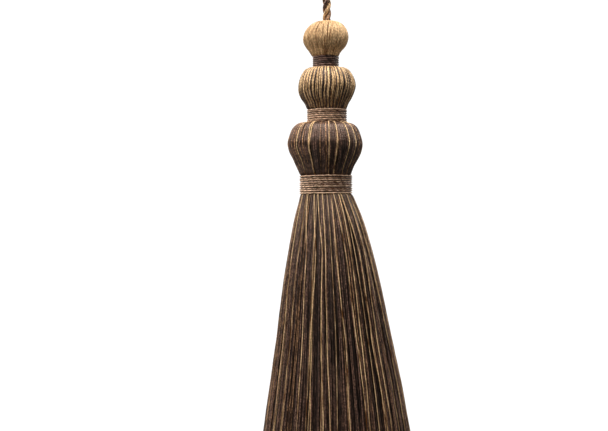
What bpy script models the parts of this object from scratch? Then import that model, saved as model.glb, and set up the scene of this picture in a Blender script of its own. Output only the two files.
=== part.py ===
"""A tie-back tassel as it hangs: a looped cord, three yarn-covered balls, their twine bindings and a skirt.

Metres, +Z up, +X to the viewer's right, the viewer on the -Y side. The origin is the inside top of the
hanging loop, where a hook carries the tassel.
"""

import math
import random

import bmesh
import bpy
from mathutils import Vector

MM = 0.001
CLEARANCE = 0.3 * MM  # between pieces that touch on the real tassel

# Heights. Everything hangs from the loop, so heights are negative.
HEAD_TOP = -95.0 * MM  # rim of the top ball's dimple, below the inside top of the loop

# The three twine bindings: one layer of twine, wound side by side.
TWINE_WALL = 1.8 * MM
TWINE_GROOVE = 0.35 * MM
BINDING_STEPS = 24
# columns: name, outer radius mm, height mm, turns of twine, sideways mm
TOP_BINDING = ("top_binding", 7.95, 7.2, 6, -0.2)
MIDDLE_BINDING = ("middle_binding", 12.0, 8.3, 7, 0.5)
LOWER_BINDING = ("lower_binding", 15.9, 11.3, 9, -0.1)

# Half sections of the balls, from the dimple's rim down. The balls are wound by hand, so they stand a little
# off the tassel's axis. Columns: drop mm, radius mm, sideways mm
TOP_BALL_ROWS = (
    (0.0, 5.0, 0.6),
    (1.1, 8.3, 0.6),
    (2.8, 10.5, 0.4),
    (5.4, 12.5, 0.2),
    (9.0, 13.7, -0.1),
    (12.2, 13.6, -0.4),
    (15.2, 12.2, -0.4),
    (18.2, 9.8, -0.6),
    (20.7, 8.4, -0.5),
)
MIDDLE_BALL_ROWS = (
    (0.0, 10.0, 0.5),
    (0.7, 12.7, 0.5),
    (3.0, 14.8, 0.5),
    (6.4, 16.5, 0.6),
    (10.6, 17.4, 0.6),
    (14.6, 16.9, 0.2),
    (18.4, 15.3, 0.1),
    (21.6, 13.2, 0.3),
    (24.4, 12.1, 0.4),
)
LOWER_BALL_ROWS = (
    (0.0, 13.8, -0.5),
    (0.7, 16.7, -0.5),
    (2.6, 19.1, -0.6),
    (6.4, 21.2, -0.6),
    (12.4, 22.7, -0.6),
    (17.6, 21.7, -0.6),
    (23.0, 19.1, -0.5),
    (27.6, 16.9, -0.6),
    (31.3, 15.3, -0.4),
)
# columns: name, flutes round the ball
TOP_BALL = ("top_ball", 30)
MIDDLE_BALL = ("middle_ball", 34)
LOWER_BALL = ("lower_ball", 32)
BALL_SECTIONS = 9  # that the smooth half outline is cut into
FLUTE_DEPTH = 0.35 * MM  # the hollows between bundles of yarn
DIMPLE_DEPTH = 0.5 * MM  # how far a binding sits down between a ball's shoulders
DIMPLE_SLACK = 0.6 * MM
CORD_DIMPLE_DEPTH = 1.6 * MM
CORD_DIMPLE_RADIUS = 3.4 * MM

# The cord: three strands of this radius, touching each other.
STRAND_RADIUS = 1.2 * MM
STRAND_CENTRE = STRAND_RADIUS * 2 / math.sqrt(3)
STRAND_VALLEY = 1.6 * MM  # from the cord's centre to the groove between two strands
STRAND_SHOULDER = 0.6  # radians from a strand's outermost line to the corners of its section
CORD_RADIUS = STRAND_CENTRE + STRAND_RADIUS
CORD_LEAD = 17.0 * MM  # cord length in which a strand goes once round
CORD_STEP = 1.5 * MM
# Centreline from the dimple up, round the loop and down beside the stem. Columns: x mm, z mm
CORD_ROUTE = (
    (0.5, -96.2),
    (0.5, -91.0),
    (0.4, -84.0),
    (0.2, -78.0),
    (0.0, -72.0),
    (0.0, -66.0),
    (-0.6, -60.0),
    (-3.0, -53.0),
    (-6.6, -44.0),
    (-9.6, -34.0),
    (-11.1, -24.0),
    (-10.9, -14.0),
    (-9.2, -5.5),
    (-5.0, 0.7),
    (0.7, 2.6),
    (6.4, 0.7),
    (10.6, -5.5),
    (12.3, -14.0),
    (12.2, -24.0),
    (11.0, -34.0),
    (9.1, -44.0),
    (7.2, -53.0),
    (6.0, -60.0),
    (5.6, -66.0),
    (5.6, -72.0),
    (5.6, -76.0),
)

# The whipping that holds the cord's end to its stem.
WHIPPING_TOP = -63.0 * MM
WHIPPING_HEIGHT = 9.6 * MM
WHIPPING_TURNS = 6
WHIPPING_WALL = 1.1 * MM
WHIPPING_GROOVE = 0.25 * MM
CORD_PITCH = 5.6 * MM  # stem to end, centre to centre
END_ARC_POINTS = 7

# The skirt's outline below the lower binding. Columns: drop mm, radius mm, lean to +X mm
SKIRT_ROWS = (
    (0.0, 13.2, 0.0),
    (1.2, 15.8, 0.3),
    (3.6, 16.8, 0.6),
    (12.6, 19.9, 1.3),
    (21.6, 22.4, 1.9),
    (39.6, 26.5, 2.8),
    (57.6, 30.0, 3.5),
    (84.6, 34.5, 4.7),
    (111.6, 39.3, 5.7),
    (142.0, 44.3, 6.3),
    (160.0, 47.1, 6.8),
)
SKIRT_ROOT_DEPTH = 2.4 * MM  # how far the locks' roots reach up into the backing
BACKING_DROP = -1.2 * MM  # underside of the backing, just inside the binding's foot
BACKING_RADIUS = 13.5 * MM
# Rings of locks, outermost first. Columns: share of the outline's radius, locks
LOCK_RINGS = (
    (1.00, 56),
    (0.82, 44),
    (0.64, 32),
    (0.46, 20),
)
LOCK_DEPTH = 0.15  # of the outline's radius
LOCK_SHOULDER = 0.22  # of the lock's depth, back from its outer ridge to its sides
LOCK_GAP = 0.32 * MM
OUTER_STATIONS = (0.0, 1.2, 21.6, 57.6, 160.0)  # drops mm at which an outer lock bends
INNER_STATIONS = (0.0, 1.2, 160.0)
TIP_UNEVEN = 1.6 * MM
TIP_SWAY = 0.25 * MM
SKIRT_SEED = 7


def material(name, colour, roughness):
    """A Principled BSDF with a linear base colour."""
    made = bpy.data.materials.new(name)
    made.use_nodes = True
    shader = made.node_tree.nodes["Principled BSDF"]
    shader.inputs["Base Color"].default_value = (*colour, 1.0)
    shader.inputs["Roughness"].default_value = roughness
    shader.inputs["Metallic"].default_value = 0.0
    made.diffuse_color = (*colour, 1.0)
    return made


def new_object(name, data, collection, finish=None):
    made = bpy.data.objects.new(name, data)
    collection.objects.link(made)
    if finish:
        data.materials.append(finish)
    return made


def catmull_rom(a, b, c, d, t):
    """A point between b and c on the smooth curve through a, b, c and d."""
    return 0.5 * (2 * b + (c - a) * t + (2 * a - 5 * b + 4 * c - d) * t**2 + (3 * b - a - 3 * c + d) * t**3)


def smooth_through(points, fine=24):
    """The smooth curve through the points, as many short chords."""
    ends = [points[0] * 2 - points[1], *points, points[-1] * 2 - points[-2]]
    curve = []
    for i in range(len(points) - 1):
        for step in range(fine):
            curve.append(catmull_rom(*ends[i : i + 4], step / fine))
    return [*curve, points[-1].copy()]


def evenly_spaced(curve, count):
    """The curve's points re-read at equal distances along it, and its length."""
    travelled = [0.0]
    for a, b in zip(curve, curve[1:]):
        travelled.append(travelled[-1] + (b - a).length)
    length = travelled[-1]
    points = []
    at = 0
    for i in range(count + 1):
        wanted = length * i / count
        while at < len(curve) - 2 and travelled[at + 1] < wanted:
            at += 1
        share = (wanted - travelled[at]) / (travelled[at + 1] - travelled[at])
        points.append(curve[at].lerp(curve[at + 1], share))
    return points, length


def turned(name, outline, steps, collection, finish):
    """A shape turned about Z from (radius, height) points that run down its outer side."""
    mesh = bpy.data.meshes.new(name)
    mesh.from_pydata([(r, 0.0, z) for r, z in outline], [(i, i + 1) for i in range(len(outline) - 1)], [])
    made = new_object(name, mesh, collection, finish)
    screw = made.modifiers.new("turned", "SCREW")
    screw.axis = "Z"
    screw.steps = steps
    screw.render_steps = steps
    screw.use_merge_vertices = True
    screw.merge_threshold = 0.00001
    screw.use_smooth_shade = True
    return made


def apply_modifiers(made):
    """Swaps the object's mesh for its evaluated one."""
    bpy.context.view_layer.update()
    shape = made.evaluated_get(bpy.context.evaluated_depsgraph_get())
    mesh = bpy.data.meshes.new_from_object(shape)
    made.modifiers.clear()
    made.data = mesh


def ball_outline(rows, top):
    """The ball's half outline, as evenly spaced (radius, height, sideways) points."""
    half = [Vector((radius * MM, top - drop * MM, sideways * MM)) for drop, radius, sideways in rows]
    return evenly_spaced(smooth_through(half), BALL_SECTIONS)[0]


def fluted_ball(piece, rows, top, dimple, neck, collection, finish):
    """A yarn-covered ball with its neck, turned and then hollowed a little between bundles of yarn.

    The dimple is (radius, depth, sideways) and the neck (radius, foot's height, sideways).
    """
    name, flutes = piece
    skin = ball_outline(rows, top)
    dimple_radius, dimple_depth, dimple_side = dimple
    neck_radius, neck_foot, neck_side = neck
    shelf = skin[-1].y - CLEARANCE / 2
    outline = [
        (0.0, top - dimple_depth, dimple_side),
        (dimple_radius, top - dimple_depth, dimple_side),
        *(tuple(point) for point in skin),
        (neck_radius, shelf, neck_side),
        (neck_radius, neck_foot, neck_side),
        (0.0, neck_foot, neck_side),
    ]
    made = turned(name, [point[:2] for point in outline], flutes * 2, collection, finish)
    apply_modifiers(made)
    for vertex in made.data.vertices:
        x, y, z = vertex.co
        radius = math.hypot(x, y)
        near = min(outline, key=lambda point: abs(point[0] - radius) + abs(point[1] - z))
        if skin[0].x < near[0] and shelf < near[1]:
            half_wave = 0.5 - 0.5 * math.cos(flutes * math.atan2(y, x))
            share = (radius - FLUTE_DEPTH * half_wave) / radius
            vertex.co.x *= share
            vertex.co.y *= share
        vertex.co.x += near[2]
    return made


def wound_side(radius, top, height, turns, groove):
    """The side of a binding, top to bottom: a ridge for each turn of twine and a groove between them."""
    pitch = height / turns
    side = []
    for i in range(turns):
        side.append((radius - groove, top - i * pitch))
        side.append((radius, top - (i + 0.5) * pitch))
    return [*side, (radius - groove, top - height)]


def binding(piece, top, collection, finish):
    """A ring of wound twine."""
    name, radius, height, turns, sideways = piece
    outer = wound_side(radius * MM, top, height * MM, turns, TWINE_GROOVE)
    inner = radius * MM - TWINE_WALL
    points = [*outer, (inner, top - height * MM), (inner, top), outer[0]]
    made = turned(name, points, BINDING_STEPS, collection, finish)
    made.location.x = sideways * MM
    return made


def closed_curve(name, points, collection):
    """A flat closed outline, kept as a guide."""
    data = bpy.data.curves.new(name, "CURVE")
    data.dimensions = "2D"
    spline = data.splines.new("POLY")
    spline.points.add(len(points) - 1)
    for point, (x, y) in zip(spline.points, points):
        point.co = (x, y, 0.0, 1.0)
    spline.use_cyclic_u = True
    guide = new_object(name, data, collection)
    guide.hide_render = True
    guide.display_type = "WIRE"
    return guide


def strand_outline():
    """The cord's section: three touching strands, with the valleys between them."""
    points = []
    for strand in range(3):
        middle = math.tau * strand / 3
        centre = Vector((math.cos(middle), math.sin(middle))) * STRAND_CENTRE
        for turn in (-STRAND_SHOULDER, STRAND_SHOULDER):
            arm = Vector((math.cos(middle + turn), math.sin(middle + turn))) * STRAND_RADIUS
            points.append(tuple(centre + arm))
        between = middle + math.tau / 6
        points.append((math.cos(between) * STRAND_VALLEY, math.sin(between) * STRAND_VALLEY))
    return points[::-1]


def cord(collection, guides, finish):
    """The hanging cord: its stem, its loop and its end laid beside the stem, with the strands' twist."""
    route = [Vector((x * MM, 0.0, z * MM)) for x, z in CORD_ROUTE]
    curve = smooth_through(route)
    length = evenly_spaced(curve, 1)[1]
    points, length = evenly_spaced(curve, round(length / CORD_STEP))
    data = bpy.data.curves.new("hanging_cord", "CURVE")
    data.dimensions = "3D"
    data.twist_mode = "MINIMUM"
    data.bevel_mode = "OBJECT"
    data.bevel_object = closed_curve("strand_outline", strand_outline(), guides)
    data.use_fill_caps = True
    spline = data.splines.new("POLY")
    spline.points.add(len(points) - 1)
    for i, point in enumerate(points):
        spline.points[i].co = (*point, 1.0)
        spline.points[i].tilt = math.tau * length * i / (len(points) - 1) / CORD_LEAD
    return new_object("hanging_cord", data, collection, finish)


def whipping(collection, guides, finish):
    """A ring of wound thread round the stem and the cord's end, with straight sides and round ends."""
    reach = CORD_RADIUS + CLEARANCE + WHIPPING_WALL
    mean = reach - WHIPPING_WALL / 2
    path = []
    for side, start in ((0.5, -math.pi / 2), (-0.5, math.pi / 2)):
        for i in range(END_ARC_POINTS):
            angle = start + math.pi * i / (END_ARC_POINTS - 1)
            path.append((side * CORD_PITCH + mean * math.cos(angle), mean * math.sin(angle)))
    half_wall, half_height = WHIPPING_WALL / 2, WHIPPING_HEIGHT / 2
    side = wound_side(half_wall, half_height, WHIPPING_HEIGHT, WHIPPING_TURNS, WHIPPING_GROOVE)
    section = [*side, (-half_wall, -half_height), (-half_wall, half_height)]
    made = closed_curve("loop_whipping", path, collection)
    made.data.bevel_mode = "OBJECT"
    made.data.bevel_object = closed_curve("whipping_section", section, guides)
    made.data.materials.append(finish)
    made.hide_render = False
    made.display_type = "TEXTURED"
    made.location = (CORD_PITCH / 2, 0.0, WHIPPING_TOP - WHIPPING_HEIGHT / 2)
    return made


def skirt_outline(drop):
    """The skirt's radius and lean at a drop below the binding, in metres."""
    rows = [(d * MM, r * MM, x * MM) for d, r, x in SKIRT_ROWS]
    for (d0, r0, x0), (d1, r1, x1) in zip(rows, rows[1:]):
        if drop <= d1:
            share = max(0.0, (drop - d0) / (d1 - d0))
            return r0 + (r1 - r0) * share, x0 + (x1 - x0) * share
    return rows[-1][1:]


def lock_section(outer, radius, depth, angle, width, lean, z):
    """One section of a lock: a kite with its ridge outwards, or a triangle with a flat outer side."""
    if outer:
        corners = (
            (radius, 0.0),
            (radius - depth * LOCK_SHOULDER, width / 2),
            (radius - depth, 0.0),
            (radius - depth * LOCK_SHOULDER, -width / 2),
        )
    else:
        corners = ((radius, width / 2), (radius - depth, 0.0), (radius, -width / 2))
    cos, sin = math.cos(angle), math.sin(angle)
    return [(r * cos - w * sin + lean, r * sin + w * cos, z) for r, w in corners]


def lock(mesh, share, outer, count, index, foot, chance):
    """Adds one lock of yarns to the bmesh, from inside the backing to its cut tip."""
    angle = math.tau * index / count
    tip_lift = chance.uniform(0.0, TIP_UNEVEN)
    sections = [(-SKIRT_ROOT_DEPTH + BACKING_DROP, 0.0)]
    stations = OUTER_STATIONS if outer else INNER_STATIONS
    for drop in stations:
        last = drop == stations[-1]
        sections.append((drop * MM - (tip_lift if last else 0.0), drop / stations[-1]))
    loops = []
    for drop, along in sections:
        outline_radius, lean = skirt_outline(drop)
        radius = outline_radius * share
        depth = outline_radius * LOCK_DEPTH
        side_radius = radius - depth * LOCK_SHOULDER if outer else radius
        width = math.tau * side_radius / count - LOCK_GAP * (1 + 2 * along)
        sway = chance.uniform(-TIP_SWAY, TIP_SWAY) * along / max(radius, MM)
        section = lock_section(outer, radius, depth, angle + sway, width, lean, foot - drop)
        loops.append([mesh.verts.new(point) for point in section])
    sides = len(loops[0])
    mesh.faces.new(loops[0])
    for upper, under in zip(loops, loops[1:]):
        for i in range(sides):
            j = (i + 1) % sides
            mesh.faces.new((upper[j], upper[i], under[i], under[j]))
    mesh.faces.new(reversed(loops[-1]))


def skirt(backing_top, foot, collection, guides, finish):
    """The skirt: locks of yarn in rings, fused by their roots into a round backing."""
    chance = random.Random(SKIRT_SEED)
    mesh = bmesh.new()
    for number, (share, count) in enumerate(LOCK_RINGS):
        turn = chance.random()
        for index in range(count):
            lock(mesh, share, number == 0, count, index + turn, foot, chance)
    bmesh.ops.recalc_face_normals(mesh, faces=mesh.faces)
    locks_mesh = bpy.data.meshes.new("skirt_locks")
    mesh.to_mesh(locks_mesh)
    mesh.free()
    locks = new_object("skirt_locks", locks_mesh, guides)
    locks.hide_render = True
    locks.display_type = "WIRE"

    underside = foot - BACKING_DROP
    height = backing_top - underside
    bpy.ops.mesh.primitive_cylinder_add(
        vertices=48, radius=BACKING_RADIUS, depth=height, location=(0.0, 0.0, underside + height / 2)
    )
    made = bpy.context.object
    made.name = "skirt"
    for owner in made.users_collection:
        owner.objects.unlink(made)
    collection.objects.link(made)
    made.data.materials.append(finish)
    fuse = made.modifiers.new("fused roots", "BOOLEAN")
    fuse.operation = "UNION"
    fuse.object = locks
    return made


def build():
    for old in list(bpy.data.objects):
        bpy.data.objects.remove(old, do_unlink=True)
    parts = bpy.data.collections.new("tassel")
    guides = bpy.data.collections.new("guides")
    for collection in (parts, guides):
        bpy.context.scene.collection.children.link(collection)

    gold = material("gold_viscose_yarn", (0.60, 0.36, 0.17), 0.45)
    striped = material("gold_and_brown_yarn", (0.33, 0.20, 0.11), 0.5)
    brown = material("dark_brown_yarn", (0.075, 0.048, 0.036), 0.6)
    dark_twine = material("dark_brown_twine", (0.065, 0.042, 0.034), 0.75)
    jute = material("light_brown_jute_twine", (0.26, 0.15, 0.09), 0.8)
    cord_finish = material("twisted_cord", (0.30, 0.18, 0.10), 0.55)

    cord(parts, guides, cord_finish)
    whipping(parts, guides, dark_twine)

    dimple = (CORD_DIMPLE_RADIUS, CORD_DIMPLE_DEPTH, CORD_ROUTE[0][0] * MM)
    top = HEAD_TOP
    for piece, rows, ring, ball_finish, ring_finish in (
        (TOP_BALL, TOP_BALL_ROWS, TOP_BINDING, gold, dark_twine),
        (MIDDLE_BALL, MIDDLE_BALL_ROWS, MIDDLE_BINDING, striped, jute),
        (LOWER_BALL, LOWER_BALL_ROWS, LOWER_BINDING, brown, jute),
    ):
        _, ring_radius, ring_height, _, ring_side = ring
        ring_top = top - rows[-1][0] * MM - CLEARANCE
        ring_foot = ring_top - ring_height * MM
        neck_foot = ring_top - ring_height * MM / 2 if piece is LOWER_BALL else ring_foot
        neck = (ring_radius * MM - TWINE_WALL - CLEARANCE, neck_foot, ring_side * MM)
        fluted_ball(piece, rows, top, dimple, neck, parts, ball_finish)
        binding(ring, ring_top, parts, ring_finish)
        dimple = (ring_radius * MM + DIMPLE_SLACK, DIMPLE_DEPTH, ring_side * MM)
        top = ring_foot - CLEARANCE + DIMPLE_DEPTH
    skirt(neck_foot - CLEARANCE, ring_foot, parts, guides, brown)


build()
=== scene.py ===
# %% [markdown]
# # A tie-back tassel, yarn by yarn
# The measured solids of a hanging tassel are loaded first, and then each is dressed with what the real one is
# made of: spun yarns laid over wooden balls, twine wound round the necks, a laid cord and a long skirt of yarns.
# Lengths are in metres, +Z is up, the viewer stands on the -Y side, and tables hold millimetres.

# %% Load the solids
import math

import bpy
import numpy as np
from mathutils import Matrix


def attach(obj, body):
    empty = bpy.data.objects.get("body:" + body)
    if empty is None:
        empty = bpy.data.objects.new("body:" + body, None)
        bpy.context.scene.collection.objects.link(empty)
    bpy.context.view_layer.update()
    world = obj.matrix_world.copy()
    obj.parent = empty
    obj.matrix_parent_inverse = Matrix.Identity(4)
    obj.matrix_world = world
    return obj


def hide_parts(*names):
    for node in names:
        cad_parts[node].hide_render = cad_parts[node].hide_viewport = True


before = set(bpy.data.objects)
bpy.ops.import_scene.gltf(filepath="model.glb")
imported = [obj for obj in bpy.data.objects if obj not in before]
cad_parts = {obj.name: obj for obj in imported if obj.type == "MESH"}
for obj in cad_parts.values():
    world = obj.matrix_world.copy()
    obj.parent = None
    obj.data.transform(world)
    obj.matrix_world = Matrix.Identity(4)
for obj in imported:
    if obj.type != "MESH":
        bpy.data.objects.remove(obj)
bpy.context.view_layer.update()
MM = 0.001

# %% [markdown]
# ## Camera
# The photograph looks level at the tassel, from about 70 cm, with the cord cut off above and the skirt below.
# A 70 mm lens on a full-frame sensor keeps the balls as round as they look there. The camera could be aimed with
# a constraint, but a level camera needs only one right angle.

# %% Camera
camera_data = bpy.data.cameras.new("studio_camera")
camera_data.lens = 70.0
camera_data.sensor_width = 36.0
camera = bpy.data.objects.new("studio_camera", camera_data)
camera.location = (-0.01326, -0.70933, -0.21152)
camera.rotation_euler = (math.radians(90.0), 0.0, 0.0)
bpy.context.scene.collection.objects.link(camera)
bpy.context.scene.camera = camera
print("camera at", [round(c, 3) for c in camera.location])

# %% [markdown]
# ## Smooth curves from short tables
# A ball's outline, the skirt's flare and the cord's route are each a short table. Straight lines between its rows
# would show as corners, so a Catmull-Rom curve runs through the rows, and is read again at even distances.


# %% A smooth curve through a table's rows
def smooth(rows, count):
    """The curve through the rows at that many evenly spaced places, and its length by the first two columns."""
    rows = np.asarray(rows, float)
    ends = np.vstack([2 * rows[0] - rows[1], rows, 2 * rows[-1] - rows[-2]])
    t = np.linspace(0, 1, 24, endpoint=False)[:, None]
    parts = []
    for a, b, c, d in zip(ends, ends[1:], ends[2:], ends[3:]):
        bend = (2 * a - 5 * b + 4 * c - d) * t**2 + (3 * b - a - 3 * c + d) * t**3
        parts.append(0.5 * (2 * b + (c - a) * t + bend))
    curve = np.vstack([*parts, rows[-1:]])
    steps = np.linalg.norm(np.diff(curve[:, :2], axis=0), axis=1)
    travelled = np.concatenate([[0.0], np.cumsum(steps)])
    places = np.linspace(0, travelled[-1], count)
    return np.column_stack([np.interp(places, travelled, column) for column in curve.T]), travelled[-1]


# %% [markdown]
# ## From a line to a yarn
# A yarn is a thin tube that follows a line. Blender's curve bevel could make it, but there are some two thousand
# yarns here, and one mesh made from arrays is far lighter than two thousand curve objects. Each point of a line
# gets three directions: along the yarn, out from its centre and to its side. A ring of corners is laid in the
# last two, and a twine's plies circle in them too.


# %% Directions along a set of lines
def directions(paths, upright):
    """Along, out and side directions at each point of the paths (yarns x points x 3), and the way travelled."""
    steps = np.linalg.norm(np.diff(paths, axis=1), axis=2)
    travelled = np.concatenate([np.zeros((len(paths), 1)), np.cumsum(steps, axis=1)], axis=1)
    along = np.gradient(paths, axis=1)
    along /= np.linalg.norm(along, axis=2, keepdims=True)
    side = np.cross(along, upright)
    side /= np.linalg.norm(side, axis=2, keepdims=True)
    return along, np.cross(side, along), side, travelled


# %% Tubes along the lines
def tubes(paths, radius, sides, upright=(0.0, 1.0, 0.0), tint=0.5, finish=0, level=False):
    """Closed tubes as arrays: points, faces, a map of (turn, mm along), a tint for each point and a finish.

    The tint is one number, one for each tube, or one for each point of each path. Level rings lie flat whatever the path does, which makes a turned shape of a path up its axis.
    """
    paths = np.asarray(paths, float)
    count, length = paths.shape[:2]
    if level:
        out = np.broadcast_to((1.0, 0.0, 0.0), paths.shape)
        side = np.broadcast_to((0.0, -1.0, 0.0), paths.shape)
        travelled = np.zeros((count, length))
    else:
        _, out, side, travelled = directions(paths, upright)
    turn = np.arange(sides) / sides
    cos, sin = np.cos(math.tau * turn)[:, None], np.sin(math.tau * turn)[:, None]
    reach = np.broadcast_to(radius, (count, length))[:, :, None, None]
    points = paths[:, :, None] + reach * (cos * out[:, :, None] + sin * side[:, :, None])

    number = np.arange(count * length * sides).reshape(count, length, sides)
    after = np.roll(number, -1, axis=2)
    quads = np.stack([number[:, :-1], after[:, :-1], after[:, 1:], number[:, 1:]], axis=-1)
    tint = np.asarray(tint, float)
    tints = np.broadcast_to(tint[:, None] if tint.ndim == 1 else tint, (count, length))
    shift = 37.0 * tints[:, :1, None]  # so that neighbours' twists don't line up
    way = np.broadcast_to(travelled[:, :, None] / MM + shift, (count, length, sides))
    left = np.broadcast_to(turn, way.shape)
    right = left + 1 / sides
    corners = [(left, slice(None, -1)), (right, slice(None, -1)), (right, slice(1, None)), (left, slice(1, None))]
    turns = np.stack([u[:, part] for u, part in corners], axis=-1)
    ways = np.stack([way[:, part] for _, part in corners], axis=-1)
    caps = np.concatenate([number[:, 0, ::-1], number[:, -1]])
    cap_map = np.zeros((caps.size, 2))
    return {
        "points": points.reshape(-1, 3),
        "quads": quads.reshape(-1, 4),
        "caps": caps,
        "map": np.column_stack([turns.ravel(), ways.ravel()]),
        "cap_map": cap_map,
        "tint": np.repeat(tints.ravel(), sides),
        "finish": finish,
    }


# %% [markdown]
# Many tubes are joined into one object. It brings a UV map that says where on its yarn each corner lies, and a
# tint that differs from yarn to yarn, because no two dyed yarns take the light alike. In places the tint also
# carries painted light and shade.


# %% One object from many tubes
def new_piece(name, parts, finishes, slot, *stands_for):
    """Joins the parts, gives them their finishes, and lets the object stand for CAD nodes."""
    mesh = bpy.data.meshes.new(name)
    starts, corners, uv, finish_of = [], [], [], []
    base, loop = 0, 0
    for part in parts:
        for faces, places in ((part["quads"], part["map"]), (part["caps"], part["cap_map"])):
            corners.append((faces + base).ravel())
            starts.append(loop + np.arange(len(faces)) * faces.shape[1])
            finish_of.append(np.full(len(faces), part["finish"]))
            uv.append(places)
            loop += faces.size
        base += len(part["points"])
    starts = np.concatenate(starts)
    mesh.vertices.add(base)
    mesh.vertices.foreach_set("co", np.concatenate([part["points"] for part in parts]).ravel())
    mesh.loops.add(loop)
    mesh.loops.foreach_set("vertex_index", np.concatenate(corners))
    mesh.polygons.add(len(starts))
    mesh.polygons.foreach_set("loop_start", starts)
    mesh.polygons.foreach_set("material_index", np.concatenate(finish_of))
    mesh.uv_layers.new(name="yarn").uv.foreach_set("vector", np.concatenate(uv).ravel())
    tint = mesh.attributes.new("tint", "FLOAT", "POINT")
    tint.data.foreach_set("value", np.concatenate([part["tint"] for part in parts]))
    mesh.update(calc_edges=True)
    mesh.validate()
    mesh.shade_smooth()
    for finish in finishes:
        mesh.materials.append(finish)
    made = bpy.data.objects.new(name, mesh)
    bpy.context.scene.collection.objects.link(made)
    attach(made, "root")
    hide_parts(*stands_for)
    mesh.calc_loop_triangles()
    print(name, "triangles", len(mesh.loop_triangles))
    return made


# %% [markdown]
# ## Twisting plies together
# A twine is two or more plies that circle each other, and a cord is strands that do the same. A right-handed
# twist climbs like the middle stroke of a Z. A negative lead gives the S twist.


# %% Plies round a centre line
def twisted(paths, plies, offset, lead, upright=(0.0, 1.0, 0.0), start=0.0):
    """The lines of the plies that circle each path at the offset, once in each lead."""
    paths = np.asarray(paths, float)
    _, out, side, travelled = directions(paths, upright)
    angle = start + math.tau * (travelled[:, :, None] / lead + np.arange(plies) / plies)
    wound = paths[:, :, None] + offset * (
        np.cos(angle)[..., None] * out[:, :, None] + np.sin(angle)[..., None] * side[:, :, None]
    )
    return np.moveaxis(wound, 2, 1).reshape(-1, paths.shape[1], 3)


# %% [markdown]
# ## Colours and nodes
# Colours are written as the hex values of a colour picker and turned to linear light, in which shaders reckon.
# One helper adds a node, sets its properties and feeds its sockets.


# %% Hex to linear
def linear(code):
    """A hex colour as linear red, green, blue and alpha."""
    shares = [int(code[i : i + 2], 16) / 255 for i in (1, 3, 5)]
    return (*(c / 12.92 if c <= 0.04045 else ((c + 0.055) / 1.055) ** 2.4 for c in shares), 1.0)


# %% Add a node
def add(tree, kind, sockets=None, **settings):
    """A new node. A socket, by name or number, takes a value, another node's first output or an output."""
    node = tree.nodes.new(kind)
    for name, value in settings.items():
        setattr(node, name, value)
    for name, value in (sockets or {}).items():
        if isinstance(value, bpy.types.Node):
            value = value.outputs[0]
        if isinstance(value, bpy.types.NodeSocket):
            tree.links.new(value, node.inputs[name])
        else:
            node.inputs[name].default_value = value
    return node


# %% [markdown]
# ## Spun yarns
# All the yarns here are spun: thin fibres are drawn out and twisted, and two such singles are plied. The eye sees
# a lighter ridge and a darker groove that run round the yarn, fine fibres nearly in line with it, and slow
# changes of tone where the yarn is thicker or its dye took less. The groove is worked out from the UV map: its
# phase grows with the turn round the yarn and with the way along it.


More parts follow.
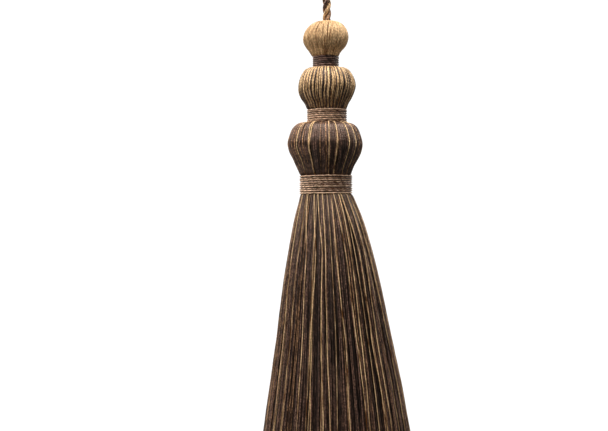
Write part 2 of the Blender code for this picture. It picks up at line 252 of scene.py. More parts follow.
# %% A material for a spun yarn
def spun_yarn(name, dark, light, glint, ridge_step, bead_step, roughness, ior, groove, uneven, beads):
    """A plied yarn whose tint runs from the dark to the light colour. The two steps are in millimetres.

    Groove, uneven and beads say how strong the grooves, the slubs and the glinting beads are, from 0 to 1. The grooves'
    shade and the beads' glints are painted into the base colour as well as bumped.
    """
    made = bpy.data.materials.new(name)
    made.use_nodes = True
    tree = made.node_tree
    shader = tree.nodes["Principled BSDF"]
    place = add(tree, "ShaderNodeUVMap", uv_map="yarn")
    split = add(tree, "ShaderNodeSeparateXYZ", {0: place})
    # One ridge goes round where the real yarn has two, because two would be finer than the picture's points.
    turned = add(tree, "ShaderNodeMath", {0: split.outputs["X"], 1: math.tau}, operation="MULTIPLY")
    phase = add(
        tree,
        "ShaderNodeMath",
        {0: split.outputs["Y"], 1: math.tau / ridge_step, 2: turned},
        operation="MULTIPLY_ADD",
    )
    wave = add(tree, "ShaderNodeMath", {0: phase}, operation="SINE")
    ridge = add(tree, "ShaderNodeMapRange", {"Value": wave, "From Min": -1.0, "To Min": 0.0})
    # Fibres are 0.02 mm thick. They're drawn 0.15 mm wide and some 3 mm long, so that they show.
    stretched = add(tree, "ShaderNodeVectorMath", {0: place, 1: (14.0, 0.35, 1.0)}, operation="MULTIPLY")
    fibres = add(tree, "ShaderNodeTexNoise", {"Vector": stretched, "Scale": 1.0, "Detail": 2.0})
    # Each ply's top glints as a bead a millimetre or so long, and no two beads are alike.
    spaced = add(tree, "ShaderNodeVectorMath", {0: place, 1: (1.0, 1.0 / bead_step, 1.0)}, operation="MULTIPLY")
    bead = add(tree, "ShaderNodeTexNoise", {"Vector": spaced, "Scale": 1.0, "Detail": 1.0})
    # Slubs, the thicker and thinner places of a spun yarn, come every few millimetres.
    every = add(tree, "ShaderNodeVectorMath", {0: place, 1: (0.4, 0.16, 1.0)}, operation="MULTIPLY")
    slubs = add(tree, "ShaderNodeTexNoise", {"Vector": every, "Scale": 1.0, "Detail": 2.0})
    tint = add(tree, "ShaderNodeAttribute", attribute_name="tint")
    slub_tint = add(
        tree,
        "ShaderNodeMapRange",
        {"Value": slubs, "From Min": 0.3, "From Max": 0.7, "To Min": -uneven, "To Max": uneven},
    )
    share = add(tree, "ShaderNodeMath", {0: slub_tint, 1: tint.outputs["Fac"]}, operation="ADD", use_clamp=True)
    body = add(tree, "ShaderNodeMix", {"Factor": share, 6: linear(dark), 7: linear(light)}, data_type="RGBA")
    streaks = add(tree, "ShaderNodeMapRange", {"Value": fibres, "To Min": 0.7, "To Max": 1.25})
    # Painted shade: the groove darkens the base colour.
    shaded = add(tree, "ShaderNodeMapRange", {"Value": ridge, "To Min": 1.0 - groove, "To Max": 1.0})
    # Painted glints: the beads lighten and darken the base colour.
    painted_glints = add(
        tree,
        "ShaderNodeMapRange",
        {"Value": bead, "From Min": 0.35, "From Max": 0.65, "To Min": 1.0 - beads, "To Max": 1.0 + beads},
    )
    both = add(tree, "ShaderNodeMath", {0: streaks, 1: shaded}, operation="MULTIPLY")
    three = add(tree, "ShaderNodeMath", {0: both, 1: painted_glints}, operation="MULTIPLY")
    toned = add(tree, "ShaderNodeVectorMath", {0: body.outputs[2], "Scale": three}, operation="SCALE")
    raised = add(tree, "ShaderNodeMath", {0: fibres, 1: 0.3, 2: ridge}, operation="MULTIPLY_ADD")
    height = add(tree, "ShaderNodeMath", {0: bead, 1: 5.0 * beads, 2: raised}, operation="MULTIPLY_ADD")
    bump = add(tree, "ShaderNodeBump", {"Height": height, "Distance": 0.08 * MM, "Strength": 0.6})
    tree.links.new(toned.outputs[0], shader.inputs["Base Color"])
    tree.links.new(bump.outputs[0], shader.inputs["Normal"])
    # Fibres spread a glint round the yarn and keep it short along it. The map's first axis runs round the yarn.
    around = add(tree, "ShaderNodeTangent", direction_type="UV_MAP", uv_map="yarn")
    tree.links.new(around.outputs[0], shader.inputs["Tangent"])
    shader.inputs["Anisotropic"].default_value = 0.7
    shader.inputs["Roughness"].default_value = roughness
    shader.inputs["Specular Tint"].default_value = linear(glint)
    shader.inputs["IOR"].default_value = ior
    print("material", name)
    return made


# %% [markdown]
# Viscose filament is smooth and round, so a gold yarn of it shines like satin. Dark brown linen is duller, with a
# violet cast where light grazes it, and the taupe yarn lies between the two.

# %% The tassel's three yarns
gold_viscose = spun_yarn(
    "gold_viscose_yarn", "#6e441d", "#ffdbab", "#ffe9cf", 1.9, 1.4, 0.47, 1.58, groove=0.3, uneven=0.35, beads=0.2
)
brown_linen = spun_yarn(
    "dark_brown_linen_yarn", "#0f0706", "#7c6054", "#ffe6dd", 1.7, 1.1, 0.42, 1.82, groove=0.4, uneven=0.3, beads=0.85
)
taupe_linen = spun_yarn(
    "taupe_linen_yarn", "#3e2a1d", "#bd9370", "#ffe6d8", 1.7, 1.2, 0.44, 1.65, groove=0.4, uneven=0.6, beads=0.6
)

# %% [markdown]
# ## The hanging cord
# The tassel hangs from a laid cord. Three strands of yarns, one dark brown, one gold and one taupe, are twisted
# into a Z cord about 5 mm thick, and each strand is itself a bundle of yarns with the opposite twist, which keeps
# the cord from unlaying. The route is the solid's: up out of the top ball, round the loop, and back down beside
# its own stem. A curve with a round bevel would lose the strands, so every yarn of them is laid.

# %% The cord's route
# Columns: x mm, z mm
CORD_ROUTE = (
    (0.5, -96.2), (0.5, -91.0), (0.4, -84.0), (0.2, -78.0), (0.0, -72.0), (0.0, -66.0), (-0.6, -60.0),
    (-3.0, -53.0), (-6.6, -44.0), (-9.6, -34.0), (-11.1, -24.0), (-10.9, -14.0), (-9.2, -5.5), (-5.0, 0.7),
    (0.7, 2.6), (6.4, 0.7), (10.6, -5.5), (12.3, -14.0), (12.2, -24.0), (11.0, -34.0), (9.1, -44.0),
    (7.2, -53.0), (6.0, -60.0), (5.6, -66.0), (5.6, -72.0), (5.6, -76.0),
)
flat_route, cord_length = smooth(CORD_ROUTE, 310)
cord_length *= MM
route = np.column_stack([flat_route[:, 0], np.zeros(len(flat_route)), flat_route[:, 1]]) * MM
print("cord length mm", round(cord_length / MM, 1), "points", len(route))

# %% The cord's strands
STRAND_OFFSET = 1.386 * MM  # strand's centre from the cord's centre, for three touching strands 1.2 mm in radius
CORD_LEAD = 17.0 * MM
GOLD_AT_FRONT = -88.9  # z in mm at which the gold strand crosses the front of the stem
# Finish of each yarn round a strand: 0 is brown, 1 gold and 2 taupe. Each strand has one stray yarn.
STRAND_YARNS = (
    (0, 0, 0, 0, 0, 0, 0, 0, 2), (1, 1, 1, 1, 1, 1, 1, 1, 2), (2, 2, 2, 2, 0, 2, 2, 2, 2),
)
chance = np.random.default_rng(11)
# At turn 0 a strand lies at the back, and at half a turn at the front. The gold strand is the second of the three.
risen = (GOLD_AT_FRONT * MM - route[0, 2]) / CORD_LEAD
cord_start = math.tau * (0.5 - risen - 1 / 3)
strands = twisted([route], 3, STRAND_OFFSET, CORD_LEAD, start=cord_start)
cord_parts = []
for number, (strand, yarns) in enumerate(zip(strands, STRAND_YARNS)):
    lines = twisted([strand], len(yarns), 0.84 * MM, -16.0 * MM)
    for line, finish in zip(lines, yarns):
        cord_parts.append(tubes([line], 0.36 * MM, 5, tint=chance.uniform(0.3, 1.0), finish=finish))
    cord_parts.append(tubes([strand], 0.8 * MM, 6, tint=0.2, finish=number))
cord = new_piece(
    "laid_cord", cord_parts, [brown_linen, gold_viscose, taupe_linen], "twisted_cord", "hanging_cord"
)

# %% [markdown]
# ## Waxed twine
# Dark linen twine, waxed so that its turns stay put, binds the cord's end to its stem and the neck under the top
# ball. It's almost black, and the wax gives each ridge a small dull glint.

# %% Dark twine
dark_twine = spun_yarn(
    "waxed_linen_twine", "#0e0809", "#a08279", "#ffe9e4", 2.2, 1.5, 0.45, 1.5, groove=0.5, uneven=0.5, beads=0.7
)
jute_twine = spun_yarn(
    "jute_twine", "#5a3523", "#ffdabd", "#ffe6d6", 2.2, 2.2, 0.6, 1.5, groove=0.5, uneven=0.4, beads=0.5
)

# %% The whipping
WHIPPING_TOP = -63.0 * MM
WHIPPING_HEIGHT = 9.6 * MM
WHIPPING_TURNS = 6
CORD_PITCH = 5.6 * MM
WHIPPING_REACH = 3.436 * MM  # centre of the twine from the centre of the cord that it rounds


# %% Twine wound round a neck or two cords
def winding(turns, reach, spread, top, height, thickness, middle, rng):
    """A wound line from top to foot. Spread pulls the round turns apart into flat-sided ones."""
    around = math.tau * reach + 2 * spread
    count = int(turns * around / (0.4 * MM))
    turn = np.linspace(0.0, turns, count)
    angle = math.pi - math.tau * turn
    x = reach * np.sin(angle)
    y = -reach * np.cos(angle)
    x += spread / 2 * np.clip(np.sin(angle) * 3.0, -1.0, 1.0) + middle
    pitch = (height - thickness) / (turns - 1)
    drop = thickness / 2 + pitch * np.clip(turn - 0.5, 0.0, turns - 1)
    slow = sum(
        rng.normal(0.0, 0.06 * MM) * np.sin(angle * pace + rng.uniform(0, math.tau)) for pace in (0.41, 0.77, 1.9)
    )
    return np.column_stack([x, y, top - drop + slow])


whipping_line = winding(
    WHIPPING_TURNS, WHIPPING_REACH, CORD_PITCH, WHIPPING_TOP, WHIPPING_HEIGHT, 1.5 * MM, CORD_PITCH / 2, chance
)
UP = (0.0, 0.0, 1.0)
plies = twisted([whipping_line], 2, 0.38 * MM, 4.2 * MM, upright=UP)
whipping = new_piece(
    "cord_whipping", [tubes(plies, 0.44 * MM, 6, UP, tint=(0.3, 0.6))], [dark_twine], "dark_twine", "loop_whipping"
)

# %% [markdown]
# ## Wound balls
# Each ball is a turned wooden mould with yarns laid over it from pole to pole, side by side. They crowd together
# at the top and foot, where the twine holds them, so each yarn is thinner there. The rows are the solid's
# outlines. A yarn's centre lies under that skin by its own radius, and a plain under layer closes the gaps. It
# takes the darkest tint, as painted shade between the yarns.

# %% [markdown]
# A yarn that turns towards the light or away from it gets lighter and darker along its way. A tint of its own
# at each point does that without any twist in the geometry.


# %% Tints that rise and fall along a yarn
def waxing(tints, points, most, rng):
    """One tint for each point of each yarn: its own tint, up or down by the most at slow and quick paces."""
    tints = np.repeat(np.asarray(tints, float)[:, None], points, axis=1)
    along = np.linspace(0.0, 1.0, points) ** 1.6
    for pace in (1.9, 4.7, 9.3):
        phase = rng.uniform(0.0, math.tau, (len(tints), 1))
        tints += most * rng.uniform(0.2, 0.7, (len(tints), 1)) * np.sin(pace * math.tau * along + phase)
    return tints


# %% Tones of dark brown yarns
def brown_tones(count, rng):
    """Most yarns are nearly black, and a few in each dye lot came out lighter."""
    return rng.choice([0.0, 0.4, 0.85], count, p=[0.5, 0.32, 0.18]) + rng.uniform(-0.05, 0.2, count)


# %% The balls' outlines
# Columns: drop mm, radius mm, sideways mm
TOP_BALL_ROWS = (
    (1.8, 3.2, 0.5), (0.5, 3.9, 0.6), (0.0, 5.0, 0.6), (1.1, 8.3, 0.6), (2.8, 10.5, 0.4), (5.4, 12.5, 0.2),
    (9.0, 13.7, -0.1), (12.2, 13.6, -0.4), (15.2, 12.2, -0.4), (18.2, 9.8, -0.6), (20.7, 8.4, -0.5),
    (21.5, 7.5, -0.4),
)
MIDDLE_BALL_ROWS = (
    (0.7, 7.8, 0.0), (0.2, 8.9, 0.3), (0.0, 10.0, 0.5), (0.7, 12.7, 0.5), (3.0, 14.8, 0.5), (6.4, 16.5, 0.6),
    (10.6, 17.4, 0.6), (14.6, 16.9, 0.2), (18.4, 15.3, 0.1), (21.6, 13.2, 0.3), (24.4, 12.1, 0.4),
    (25.2, 11.2, 0.5),
)
LOWER_BALL_ROWS = (
    (0.7, 11.8, 0.3), (0.2, 12.9, 0.0), (0.0, 13.8, -0.5), (0.7, 16.7, -0.5), (2.6, 19.1, -0.6),
    (6.4, 21.2, -0.6), (12.4, 22.7, -0.6), (17.6, 21.7, -0.6), (23.0, 19.1, -0.5), (27.6, 16.9, -0.6),
    (31.3, 15.5, -0.4), (32.1, 14.9, -0.2),
)
BALL_POINTS = 26


# %% Yarns over a ball
def meridians(rows, top, angles, thickness, sunk, rng, wander=0.25):
    """Lines from pole to pole at the angles, from the front towards +X, and each line's radius at its points.

    Sunk is in millimetres: one number, a row with one for each point or a column with one for each yarn.
    """
    skin, _ = smooth([(r, -d, x) for d, r, x in rows], BALL_POINTS)
    slope = np.gradient(skin[:, :2], axis=0)
    slope /= np.linalg.norm(slope, axis=1, keepdims=True)
    share = np.linspace(0.0, 1.0, BALL_POINTS)
    count = len(angles)
    widest = skin[:, 0].max()
    slim = 0.5 + 0.5 * skin[:, 0] / widest
    radius = np.broadcast_to(thickness, count)[:, None] / 2 * slim * MM
    stray = np.zeros((count, BALL_POINTS))
    dip = np.zeros((count, BALL_POINTS))
    for pace in (1, 2, 3):
        stray += rng.normal(0, wander / pace, (count, 1)) * np.sin(
            math.pi * pace * share + rng.uniform(0, math.tau, (count, 1))
        )
        dip += rng.uniform(0, 0.12, (count, 1)) * (
            1 + np.sin(math.tau * pace * share + rng.uniform(0, math.tau, (count, 1)))
        )
    inset = sunk + dip * slim
    r = skin[:, 0] * MM + slope[:, 1] * (radius + inset * MM)
    z = top + skin[:, 1] * MM - slope[:, 0] * (radius + inset * MM)
    angle = np.asarray(angles)[:, None] + stray * MM / (widest * MM)
    x = r * np.sin(angle) + skin[:, 2] * MM
    return np.stack([x, -r * np.cos(angle), z], axis=-1), radius


# %% The plain layer under the yarns
def under_layer(rows, top, foot, neck, thickness, finish=0):
    """A turned shape under a ball's yarns that goes on down as its neck."""
    skin, _ = smooth([(r, -d, x) for d, r, x in rows], BALL_POINTS)
    slope = np.gradient(skin[:, :2], axis=0)
    slope /= np.linalg.norm(slope, axis=1, keepdims=True)
    r = skin[:, 0] + slope[:, 1] * thickness
    z = skin[:, 1] - slope[:, 0] * thickness
    side = skin[:, 2]
    r = np.append(r, [neck, neck])
    z = np.append(z, [z[-1] - 0.3, (foot - top) / MM])
    side = np.append(side, [side[-1], side[-1]])
    path = np.column_stack([side * MM, np.zeros(len(side)), top + z * MM])
    # Painted shade: the under layer takes the darkest tint.
    return tubes([path], [r * MM], 72, tint=0.0, finish=finish, level=True)


# %% Heights down the head
# Columns: name of the ring, outer radius mm, height mm, turns, sideways mm
RINGS = {
    "top_binding": (7.95, 7.2, 6, -0.2),
    "middle_binding": (12.0, 8.3, 7, 0.5),
    "lower_binding": (15.9, 11.3, 9, -0.1),
}
HEAD_TOP = -95.0 * MM
GAP = 0.3 * MM
DIMPLE = 0.5 * MM
tops, ring_tops = {}, {}
height = HEAD_TOP
for ball, rows, ring in (
    ("top_ball", TOP_BALL_ROWS, "top_binding"),
    ("middle_ball", MIDDLE_BALL_ROWS, "middle_binding"),
    ("lower_ball", LOWER_BALL_ROWS, "lower_binding"),
):
    tops[ball] = height
    ring_tops[ring] = height - rows[-2][0] * MM - GAP
    skirt_top = ring_tops[ring] - RINGS[ring][1] * MM
    height = skirt_top - GAP + DIMPLE
print("ball tops mm", {name: round(z / MM, 1) for name, z in tops.items()}, "skirt", round(skirt_top / MM, 1))

# %% [markdown]
# ### The top ball
# The smallest ball is all gold viscose. Its yarns lie so close that they read as satin with fine brown lines.

# %% The top ball
TOP_YARNS = 124
angles = math.tau * (np.arange(TOP_YARNS) + chance.uniform(-0.2, 0.2, TOP_YARNS)) / TOP_YARNS
lines, radius = meridians(TOP_BALL_ROWS, tops["top_ball"], angles, 0.84, 0.0, chance)
# Painted shade: below the middle about a third of the yarns are painted darker.
painted_lower_shade = np.linspace(-0.9, 1.0, BALL_POINTS).clip(0.0, 1.0) * chance.choice([0.0, 0.55], (TOP_YARNS, 1), p=[0.65, 0.35])
tints = waxing(chance.uniform(0.46, 0.74, TOP_YARNS), BALL_POINTS, 0.15, chance) - painted_lower_shade
# Painted light: the yarns towards +X, on the right, are painted lighter.
tints += 0.2 * np.sin(angles).clip(0.0)[:, None]
top_ball = new_piece(
    "gold_ball_yarns",
    [
        tubes(lines, radius, 6, tint=tints),
        under_layer(TOP_BALL_ROWS, tops["top_ball"], ring_tops["top_binding"] - 7.2 * MM, 5.8, 0.75),
    ],
    [gold_viscose],
    "gold_yarn",
    "top_ball",
)

# %% [markdown]
# ### The middle ball
# Here bundles of two gold yarns, or now and then one or three, are laid in turn with a thicker dark brown yarn
# between each two bundles. Each yarn gets as much of the way round as it's thick.

# %% The middle ball
BUNDLES = 44
GOLD_WIDTH, BROWN_WIDTH = 0.78, 0.98  # millimetres
kinds = []
for bundle in range(BUNDLES):
    kinds += ["gold"] * int(chance.choice([1, 2, 2, 2, 2, 3])) + ["brown"]
kinds = np.array(kinds)
widths = np.where(kinds == "gold", GOLD_WIDTH, BROWN_WIDTH)
angles = math.tau * (np.cumsum(widths) - widths / 2) / widths.sum()
middle_parts = [under_layer(MIDDLE_BALL_ROWS, tops["middle_ball"], ring_tops["middle_binding"] - 8.3 * MM, 9.8, 0.9, 1)]
# Below the middle the thinner gold yarns settle between the brown ones, and there the gold is painted darker as painted
# shade.
settling_and_shade = 0.16 * np.linspace(-0.4, 1.0, BALL_POINTS).clip(0.0, 1.0)
for finish, kind, thickness, sunk in ((0, "gold", 0.78, settling_and_shade), (1, "brown", 1.02, 0.0)):
    chosen = angles[kinds == kind]
    lines, radius = meridians(MIDDLE_BALL_ROWS, tops["middle_ball"], chosen, thickness, sunk, chance, 0.2)
    tints = chance.uniform(0.64, 1.14, len(chosen)) if kind == "gold" else chance.uniform(-0.3, 0.15, len(chosen))
    # Painted shade: the gold yarns are darker below the middle.
    tints = waxing(tints, BALL_POINTS, 0.2, chance) - 4.5 * settling_and_shade * (kind == "gold")
    middle_parts.append(tubes(lines, radius, 6, tint=tints, finish=finish))
middle_ball = new_piece(
    "striped_ball_yarns", middle_parts, [gold_viscose, brown_linen], "striped_yarn", "middle_ball"
)
print("yarns in the middle ball", len(kinds))

# %% [markdown]
# ### The lower ball
# The largest ball is dark brown linen with a few single gold and taupe yarns. Where they lie on the front is
# a maker's choice, so it stands in a table. Round the back they come at much the same spacing.

# %% The lower ball
# Columns: degrees from the front towards +X, finish
LIGHT_MERIDIANS = (
    (-64, "taupe"), (-56, "taupe"), (-50, "gold"), (-44, "taupe"), (-37, "taupe"), (-27, "gold"), (-25, "gold"), (-9, "taupe"),
    (0, "taupe"), (5.8, "gold"), (17.5, "gold"), (20, "taupe"), (38.5, "gold"), (53, "gold"), (66, "taupe"),
    (92, "gold"), (111, "taupe"), (126, "gold"),
    (149, "gold"), (163, "taupe"), (184, "gold"), (203, "gold"), (219, "taupe"), (238, "gold"), (262, "gold"),
    (281, "taupe"),
)
LOWER_YARNS = 188
# Below the middle the yarns are painted darker, as painted shade, and the light ones grow thinner and sink between
# their neighbours.
below = np.linspace(-0.8, 1.0, BALL_POINTS).clip(0.0, 1.0)
angles = math.tau * (np.arange(LOWER_YARNS) + chance.uniform(-0.2, 0.2, LOWER_YARNS)) / LOWER_YARNS
kinds = np.full(LOWER_YARNS, "brown")
for degrees, kind in LIGHT_MERIDIANS:
    kinds[round(degrees / 360 * LOWER_YARNS) % LOWER_YARNS] = kind
lower_parts = [under_layer(LOWER_BALL_ROWS, tops["lower_ball"], ring_tops["lower_binding"] - 5.65 * MM, 13.7, 0.8)]
for finish, (kind, thickness, sunk) in enumerate((("brown", 0.8, 0.06), ("gold", 0.68, -0.22), ("taupe", 0.64, -0.1))):
    chosen = angles[kinds == kind]
    tints = brown_tones(len(chosen), chance).clip(0.1, 0.5) + 0.2 if kind == "brown" else chance.uniform(0.7, 1.2, len(chosen))
    # The darkest yarns lie deepest, so the recesses come out darker: partly the yarns' own dye, partly painted shade.
    sunk = sunk + np.where(tints < 0.4, 0.12, 0.0)
    lines, radius = meridians(LOWER_BALL_ROWS, tops["lower_ball"], chosen, thickness, sunk[:, None], chance)
    tints = waxing(tints, BALL_POINTS, 0.08 if kind == "brown" else 0.5, chance)
    # Painted shade: the tints fall below the middle.
    tints -= below * (0.36 if kind == "brown" else 0.6)
    radius = radius * (1.0 - below * (0.0 if kind == "brown" else 0.3))
    lower_parts.append(tubes(lines, radius, 6, tint=tints, finish=finish))
lower_ball = new_piece(
    "brown_ball_yarns", lower_parts, [brown_linen, gold_viscose, taupe_linen], "brown_yarn", "lower_ball"
)

# %% [markdown]
# ## Twine bindings
# Under each ball a single layer of twine is wound round the neck. The solid has a ridge for each turn. Here it's
# one long two-ply twine, a little uneven, as a hand winds it. A near-black sleeve under the turns is painted shade:
# it stands for the inner layer, which is seen only as a shade between the turns.

# %% The bindings
TWINE_RADIUS = 0.42  # millimetres
for ring, finish, slot in (
    ("top_binding", dark_twine, "dark_twine"),
    ("middle_binding", jute_twine, "jute_twine"),
    ("lower_binding", jute_twine, "jute_twine"),
):
    outer, height, turns, sideways = RINGS[ring]
    line = winding(
        turns, (outer - TWINE_RADIUS) * MM, 0.0, ring_tops[ring], height * MM, 1.2 * MM, sideways * MM, chance
    )
    plies = twisted([line], 3, 0.16 * MM, 4.2 * MM, upright=UP)
    # Each turn comes from another stretch of the ball of twine, so its tone differs from the next one's.
    turn = np.linspace(0.0, turns, len(line))
    tone_and_side_light = np.interp(turn, np.arange(turns * 2 + 1) / 2, chance.uniform(0.1, 1.1, turns * 2 + 1))
    # Painted light: the twine is painted lighter towards -X, the side the left softbox lights, and darker towards +X.
    tone_and_side_light += 0.06 - 0.3 * np.sin(math.tau * turn)
    shade_sleeve = [(sideways * MM, 0.0, ring_tops[ring] - drop * height * MM) for drop in (0.04, 0.96)]
    new_piece(
        ring + "_twine",
        [
            tubes(plies, 0.26 * MM, 6, UP, tint=tone_and_side_light + np.array([[-0.2], [0.0], [0.2]])),
            # Painted shade: the near-black sleeve that shows between the turns.
            tubes([shade_sleeve], [[(outer - 0.8) * MM] * 2], 64, tint=0.1, finish=1, level=True),
        ],
        [finish, brown_linen],
        slot,
        ring,
    )

# %% [markdown]
# ## The skirt
# The skirt is a fringe of some fifteen hundred yarns, gathered at the root. Dark brown ones make the mass, and
# single gold and taupe ones run down through it. Hair particles could grow them, but each line has to follow the
# solid's flare, so they're worked out from the same table. Neighbours cling into locks, with dark gaps between.

# %% The skirt's flare
# Columns: drop mm, radius mm, lean to +X mm
SKIRT_ROWS = (
    (-2.5, 13.4, 0.0), (-0.8, 14.3, 0.0), (0.3, 15.4, 0.1), (1.2, 16.1, 0.3), (3.6, 16.8, 0.6), (12.6, 19.9, 1.3),
    (21.6, 22.4, 1.9), (39.6, 26.5, 2.8), (57.6, 30.0, 3.5), (84.6, 34.5, 4.7), (111.6, 39.3, 5.7),
    (142.0, 44.3, 6.3), (160.0, 47.1, 6.8),
)
SKIRT_LENGTH = 160.0
SKIRT_POINTS = 26
LOCKS = 56
flare, _ = smooth([(d, r, x) for d, r, x in SKIRT_ROWS], 400)


# %% Yarns down the skirt
def hanging(angles, sunk, thickness, rng, points=SKIRT_POINTS, wander=0.35, cling=0.4, crowd=None, share=1.0):
    """Lines down the skirt at the angles, which are (yarns) or (yarns x points).

    Sunk is how many millimetres each lies under the skin. Crowd is the skirt's radius at which there's room for
    the yarn in the outer layer: above that it lies deeper, under its neighbours.
    """
    count = len(angles)
    # Points are close together at the root, where the outline bends.
    step = np.linspace(0.0, 1.0, points) ** 1.6
    end = SKIRT_LENGTH - rng.uniform(0.0, 2.0, (count, 1))
    drop = -2.0 + step * (end + 2.0)
    r = np.interp(drop, flare[:, 0], flare[:, 1])
    lean = np.interp(drop, flare[:, 0], flare[:, 2])
    angle = np.asarray(angles, float).reshape(count, -1) + np.zeros((count, points))
    down = (drop / SKIRT_LENGTH).clip(0.0, 1.0)
    lock = LOCKS * angle + 1.6 * np.sin(3 * angle) + 0.8 * np.sin(5.1 * down + 2 * angle)
    angle = angle + cling * down * np.sin(lock) / LOCKS
    for pace in (1.3, 3.1, 6.3, 11.7):
        swing = rng.normal(0, wander / pace, (count, 1)) * np.sqrt(down)
        angle = angle + swing * np.sin(pace * math.tau * down + rng.uniform(0, math.tau, (count, 1))) / r
    depth = 0.5 * down * (1 - np.cos(lock)) / 2 + np.broadcast_to(sunk, count)[:, None]
    if crowd is not None:
        depth = depth + 0.9 * ((np.asarray(crowd)[:, None] - r) / 1.5).clip(0.0, 1.0)
    for pace, most in ((2.3, 0.16), (5.9, 0.16), (13.7, 0.1)):
        phase = rng.uniform(0, math.tau, (count, 1))
        depth = depth + rng.uniform(0, most, (count, 1)) * down * np.sin(math.tau * pace * down + phase)
    radius = np.broadcast_to(thickness, count)[:, None] / 2 * (0.8 + 0.2 * (r / 30).clip(0, 1))
    reach = r * np.broadcast_to(share, count)[:, None] - radius - depth
    x = reach * np.sin(angle) + lean
    z = skirt_top / MM - drop
    return np.stack([x, -reach * np.cos(angle), z], axis=-1) * MM, radius * MM


# %% [markdown]
# The outer layer has as many yarns as there's room for at the foot. Higher up there's room for fewer, so the rest
# lie under them there and come to the skin further down. Turning each yarn by the golden angle from the last
# keeps any first few of them evenly spread, as a sunflower's seeds are.

# %% The outer layer of the skirt
YARN_SPACING = 0.82
OUTER_YARNS = int(math.tau * 47.1 / YARN_SPACING)
OUTER_POINTS = 42
GOLDEN_ANGLE = math.pi * (3 - math.sqrt(5))
order = np.arange(OUTER_YARNS)
angles = order * GOLDEN_ANGLE % math.tau
room = (order + 1) * YARN_SPACING / math.tau
chance = np.random.default_rng(10)
kinds = chance.choice(["brown", "taupe", "gold"], OUTER_YARNS, p=[0.81, 0.10, 0.09])
# Towards the cut ends the yarns are a little lighter, the brown ones most.
lighter_to_foot = np.linspace(-5.0, 2.0, OUTER_POINTS).clip(0.0, 1.0)
outer_parts = []
for finish, (kind, thickness) in enumerate((("brown", 0.62), ("taupe", 0.42), ("gold", 0.4))):
    chosen = kinds == kind
    count = int(chosen.sum())
    tints = brown_tones(count, chance) - 0.1 if kind == "brown" else chance.uniform(0.1, 0.8, count)
    # The darkest yarns lie deepest, so the recesses come out darker: partly the yarns' own dye, partly painted shade.
    sunk = np.where(tints < 0.15, 0.8, 0.0)
    lines, radius = hanging(angles[chosen], sunk, thickness, chance, points=OUTER_POINTS, crowd=room[chosen])
    tints = waxing(tints, OUTER_POINTS, 0.25 if kind == "brown" else 0.45, chance)
    tints += lighter_to_foot * (0.2 if kind == "brown" else 0.08)
    outer_parts.append(tubes(lines, radius, 5, tint=tints, finish=finish))
skirt_outer = new_piece(
    "skirt_outer_yarns", outer_parts, [brown_linen, taupe_linen, gold_viscose], "brown_yarn", "skirt"
)

# %% Darker yarns just under them
UNDER_YARNS = 330
angles = math.tau * (np.arange(UNDER_YARNS) + chance.uniform(-0.5, 0.5, UNDER_YARNS)) / UNDER_YARNS
lines, radius = hanging(angles, 1.5, 1.15, chance, points=18, cling=0.0)
# Painted shade: these yarns take darker tints than the outer layer.
under_part = tubes(lines, radius, 4, tint=chance.uniform(-0.3, 0.1, UNDER_YARNS))

# %% Yarns in the skirt's depth
INNER_YARNS = 700
angles = chance.uniform(0, math.tau, INNER_YARNS)
share = np.sqrt(chance.uniform(0.2, 0.90, INNER_YARNS))
lines, radius = hanging(angles, 0.0, 0.95, chance, points=14, cling=0.0, share=share)
head = np.array([(0.0, 0.0, -195.0), (0.0, 0.0, -199.4), (0.0, 0.0, -200.2)]) * MM
skirt_inner = new_piece(
    "skirt_inner_yarns",
    [
        under_part,
        # Painted shade: the yarns in the depth take dark tints too.
        tubes(lines, radius, 4, tint=chance.uniform(-0.2, 0.2, INNER_YARNS)),
        tubes([head], [np.array([13.4, 13.2, 11.0]) * MM], 48, tint=0.0, level=True),
    ],
    [brown_linen],
    "brown_yarn",
    "skirt",
)

# %% [markdown]
# The gold yarns that show on the front follow a table of their own, because they give this skirt its character.
# A share of -1 is the skirt's left edge and 1 its right edge, at four depths. The back, which the photograph
# doesn't show, gets the same yarns half a turn round.

# %% Gold yarns on the front
TRACK_DROPS = (3.5, 33.5, 87.5, 142.0)
# Columns: share of the half width at those drops
GOLD_TRACKS = (
    (-0.91, -0.90, -0.868, -0.86),
    (-0.707, -0.57, -0.55, -0.56),
    (-0.47, -0.354, -0.42, -0.36),
    (-0.336, -0.20, -0.24, -0.20),
    (-0.168, -0.13, -0.14, -0.10),
    (0.14, 0.09, 0.18, 0.154),
    (0.257, 0.34, 0.36, 0.39),
    (0.443, 0.455, 0.43, 0.425),
    (0.543, 0.66, 0.616, 0.67),
    (0.746, 0.78, 0.70, 0.72),
    (0.86, 0.89, 0.907, 0.92),
)
down = -2.0 + np.linspace(0.0, 1.0, SKIRT_POINTS) ** 1.6 * (SKIRT_LENGTH + 2.0)
front = np.array([np.arcsin(np.interp(down, TRACK_DROPS, row)) for row in GOLD_TRACKS])
tracks = np.concatenate([front, front + math.pi])
lines, radius = hanging(tracks, -0.2, 0.55, chance, wander=0.35, cling=0.15)
tints = waxing(np.full(len(tracks), 0.75), SKIRT_POINTS, 0.75, chance)
# Painted light: the gold yarns are lighter in the top 30 mm, where the overhead light catches them.
tints += 0.5 * (1.0 - down / 30.0).clip(0.0, 1.0)
skirt_gold = new_piece(
    "skirt_gold_yarns",
    [tubes(lines, radius, 5, tint=tints)],
    [gold_viscose],
    "brown_yarn",
    "skirt",
)

# %% [markdown]
# ## Studio
# The photograph was taken against pure white with a large soft light overhead. A pale floor lies under the
# tassel, out of the camera's view. The world is white to the camera, and as a light it's brighter behind and
# beside the tassel than in front, as white paper is.

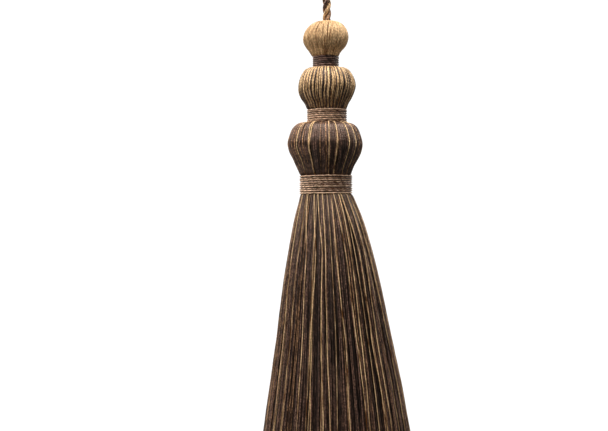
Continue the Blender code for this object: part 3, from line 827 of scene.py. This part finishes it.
# %% The floor
floor_finish = bpy.data.materials.new("matt_white_paper")
floor_finish.use_nodes = True
floor_shader = floor_finish.node_tree.nodes["Principled BSDF"]
floor_shader.inputs["Base Color"].default_value = linear("#cfd2da")
floor_shader.inputs["Roughness"].default_value = 0.9
FLOOR_HEIGHT = -0.46
bpy.ops.mesh.primitive_circle_add(vertices=96, radius=0.58, fill_type="NGON", location=(0.0, 0.0, FLOOR_HEIGHT))
floor = bpy.context.object
floor.name = "studio_floor"
floor.data.materials.append(floor_finish)
floor.visible_diffuse = False
floor.visible_glossy = False

# %% The world
world = bpy.data.worlds.new("white_studio")
world.use_nodes = True
tree = world.node_tree
for old in list(tree.nodes):
    tree.nodes.remove(old)
direction = add(tree, "ShaderNodeTexCoord")
split = add(tree, "ShaderNodeSeparateXYZ", {0: direction.outputs["Generated"]})
strength = add(
    tree,
    "ShaderNodeMapRange",
    {"Value": split.outputs["Y"], "From Min": -0.35, "From Max": 0.6, "To Min": 0.015, "To Max": 0.6},
)
fill = add(tree, "ShaderNodeBackground", {"Color": linear("#fff6ea"), "Strength": strength})
seen = add(tree, "ShaderNodeBackground", {"Color": (1.0, 1.0, 1.0, 1.0), "Strength": 1.1})
path = add(tree, "ShaderNodeLightPath")
either = add(tree, "ShaderNodeMixShader", {0: path.outputs["Is Camera Ray"], 1: fill, 2: seen})
add(tree, "ShaderNodeOutputWorld", {0: either})
bpy.context.scene.world = world
bpy.context.scene.view_settings.view_transform = "Standard"


# %% The lights
def softbox(name, place, aim, width, height, watts):
    """An area light at a place, turned to what it lights, that the camera doesn't see."""
    data = bpy.data.lights.new(name, "AREA")
    data.shape = "RECTANGLE"
    data.size = width
    data.size_y = height
    data.energy = watts
    data.color = linear("#fff6ea")[:3]
    light = bpy.data.objects.new(name, data)
    light.location = place
    way = np.array(aim) - np.array(place)
    light.rotation_euler = (
        math.atan2(math.hypot(way[0], way[1]), -way[2]), 0.0, math.atan2(way[1], way[0]) - math.pi / 2
    )
    light.visible_camera = False
    bpy.context.scene.collection.objects.link(light)


softbox("overhead_softbox", (-0.05, -0.2, 0.55), (0.0, 0.0, -0.17), 0.5, 0.45, 7.9)
softbox("left_softbox", (-0.55, -0.55, 0.3), (0.0, 0.0, -0.2), 0.35, 0.35, 4.1)
softbox("front_softbox", (0.0, -0.7, 0.45), (0.0, 0.0, -0.15), 0.5, 0.4, 1.1)
softbox("right_softbox", (0.55, -0.5, -0.38), (0.0, 0.0, -0.34), 0.35, 0.5, 0.5)
softbox("low_left_softbox", (-0.6, -0.05, -0.45), (0.0, 0.0, -0.2), 0.35, 0.35, 0.65)
softbox("left_rim_softbox", (-0.6, 0.5, 0.15), (0.0, 0.0, -0.15), 0.35, 0.5, 2.4)
softbox("right_rim_softbox", (0.65, 0.4, 0.15), (0.0, 0.0, -0.15), 0.35, 0.5, 3.4)
